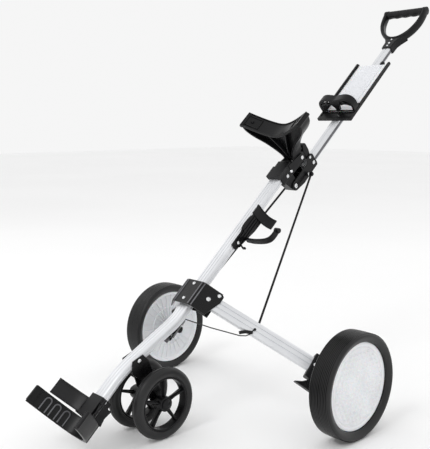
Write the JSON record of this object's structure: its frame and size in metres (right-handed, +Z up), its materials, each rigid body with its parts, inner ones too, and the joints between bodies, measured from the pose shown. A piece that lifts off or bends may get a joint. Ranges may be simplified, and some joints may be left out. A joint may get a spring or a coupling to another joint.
{
  "type": "golf push trolley",
  "caption": "Folding golf trolley with a sloping tube, bag cradles, spread rear legs on big wheels, close-set front wheels, a bottle holder and a D-shaped handle.",
  "frame": {"origin": "on the ground under the middle of the trolley's box", "axes": "+Z up, -Y forwards where the small wheels are, +X towards the bottle holder"},
  "size_m": [0.703, 1.2407, 1.0264],
  "materials": {
    "moulded_black": "satin moulded black",
    "painted_steel": "black powder coat",
    "silver_tube": "satin silver",
    "zinc_steel": "zinc plated",
    "tyre_rubber": "matt",
    "white_plastic": "satin white",
    "grip_rubber": "matt",
    "card": "printed card"
  },
  "bodies": {
    "frame": {"main_tube": "silver_tube", "top_collar": "moulded_black", "collar_bolt": "zinc_steel", "bag_cradle": "moulded_black", "cradle_bolt": "zinc_steel", "leg_bracket_front": "painted_steel", "leg_bracket_rear": "painted_steel", "bracket_bolt_upper": "zinc_steel", "bracket_bolt_lower": "zinc_steel", "leg_pivot_left": "zinc_steel", "leg_pivot_right": "zinc_steel", "leg_stop_bolt_left": "zinc_steel", "leg_stop_bolt_right": "zinc_steel", "base_cradle": "moulded_black", "base_bolt": "zinc_steel", "front_fork": "painted_steel", "fork_bolt": "zinc_steel", "front_axle": "moulded_black", "cup_holder_base": "moulded_black", "cup_holder_arm": "moulded_black", "cup_holder_screw": "zinc_steel", "hinge_pin": "zinc_steel", "spread_wire": "painted_steel"},
    "handle": {"hinge_channel": "painted_steel", "channel_bolt": "zinc_steel", "handle_tube": "silver_tube", "handle_frame": "moulded_black", "neck_rivet": "zinc_steel", "grip_sleeve": "grip_rubber", "grip_bar": "moulded_black", "latch_pin": "zinc_steel", "rod_pin": "zinc_steel", "scorecard_frame": "moulded_black", "scorecard_board": "white_plastic", "scorecard": "card", "ball_hood": "moulded_black", "panel_clamp": "moulded_black"},
    "latch": {"latch_lever": "moulded_black"},
    "front_wheel_left": {"small_tyre_left": "tyre_rubber", "small_rim_left": "moulded_black"},
    "front_wheel_right": {"small_tyre_right": "tyre_rubber", "small_rim_right": "moulded_black"},
    "leg_left": {"leg_tube_left": "silver_tube", "axle_bracket_left": "moulded_black", "axle_bracket_bolt_left": "zinc_steel", "axle_left": "zinc_steel"},
    "wheel_left": {"big_tyre_left": "tyre_rubber", "big_rim_left": "white_plastic", "big_cover_left": "white_plastic"},
    "rod_left": {"tie_rod_left": "painted_steel"},
    "brake_left": {"brake_lever_left": "moulded_black"},
    "leg_right": {"leg_tube_right": "silver_tube", "axle_bracket_right": "moulded_black", "axle_bracket_bolt_right": "zinc_steel", "axle_right": "zinc_steel"},
    "wheel_right": {"big_tyre_right": "tyre_rubber", "big_rim_right": "white_plastic", "big_cover_right": "white_plastic"},
    "rod_right": {"tie_rod_right": "painted_steel"},
    "brake_right": {"brake_lever_right": "moulded_black"}
  },
  "joints": [
    {"name": "handle_fold", "type": "hinge", "parent": "frame", "child": "handle", "pos_m": [0, 0.1025, 0.52846], "axis": [-1, 0, 0], "range_deg": [0, 168], "deforming": ["spread_wire"]},
    {"name": "latch_turn", "type": "hinge", "parent": "handle", "child": "latch", "pos_m": [0, 0.15652, 0.59998], "axis": [-1, 0, 0], "range_deg": [0, 70]},
    {"name": "leg_left_fold", "type": "hinge", "parent": "frame", "child": "leg_left", "pos_m": [0.042, -0.22881, 0.28667], "axis": [-0.7095, 0.4715, -0.5237], "range_deg": [0, 66.95]},
    {"name": "leg_right_fold", "type": "hinge", "parent": "frame", "child": "leg_right", "pos_m": [-0.042, -0.22881, 0.28667], "axis": [-0.7095, -0.4715, 0.5237], "range_deg": [0, 66.95]},
    {"name": "rod_left_turn", "type": "hinge", "parent": "leg_left", "child": "rod_left", "pos_m": [0.12428, -0.15548, 0.21449], "axis": [0.6786, -0.4359, 0.5911], "range_deg": [0, 58.73]},
    {"name": "rod_right_turn", "type": "hinge", "parent": "leg_right", "child": "rod_right", "pos_m": [-0.12428, -0.15548, 0.21449], "axis": [0.6786, 0.4359, -0.5911], "range_deg": [0, 58.73]},
    {"name": "wheel_left_spin", "type": "hinge", "parent": "leg_left", "child": "wheel_left", "pos_m": [0.324, -0.0573, 0.12], "axis": [1, 0, 0], "continuous": true},
    {"name": "wheel_right_spin", "type": "hinge", "parent": "leg_right", "child": "wheel_right", "pos_m": [-0.324, -0.0573, 0.12], "axis": [1, 0, 0], "continuous": true},
    {"name": "front_left_spin", "type": "hinge", "parent": "frame", "child": "front_wheel_left", "pos_m": [0.0445, -0.3643, 0.08], "axis": [1, 0, 0], "continuous": true},
    {"name": "front_right_spin", "type": "hinge", "parent": "frame", "child": "front_wheel_right", "pos_m": [-0.0445, -0.3643, 0.08], "axis": [1, 0, 0], "continuous": true},
    {"name": "brake_left_press", "type": "hinge", "parent": "leg_left", "child": "brake_left", "pos_m": [0.24756, -0.11204, 0.1133], "axis": [0.7095, -0.4715, 0.5237], "range_deg": [0, 12]},
    {"name": "brake_right_press", "type": "hinge", "parent": "leg_right", "child": "brake_right", "pos_m": [-0.24756, -0.11204, 0.1133], "axis": [0.7095, 0.4715, -0.5237], "range_deg": [0, 12]}
  ],
  "couplings": [
    {"joint": "leg_left_fold", "follows": "handle_fold", "ratio": 0.39839},
    {"joint": "leg_right_fold", "follows": "handle_fold", "ratio": 0.39839},
    {"joint": "rod_left_turn", "follows": "handle_fold", "ratio": 0.34945},
    {"joint": "rod_right_turn", "follows": "handle_fold", "ratio": 0.34945}
  ]
}
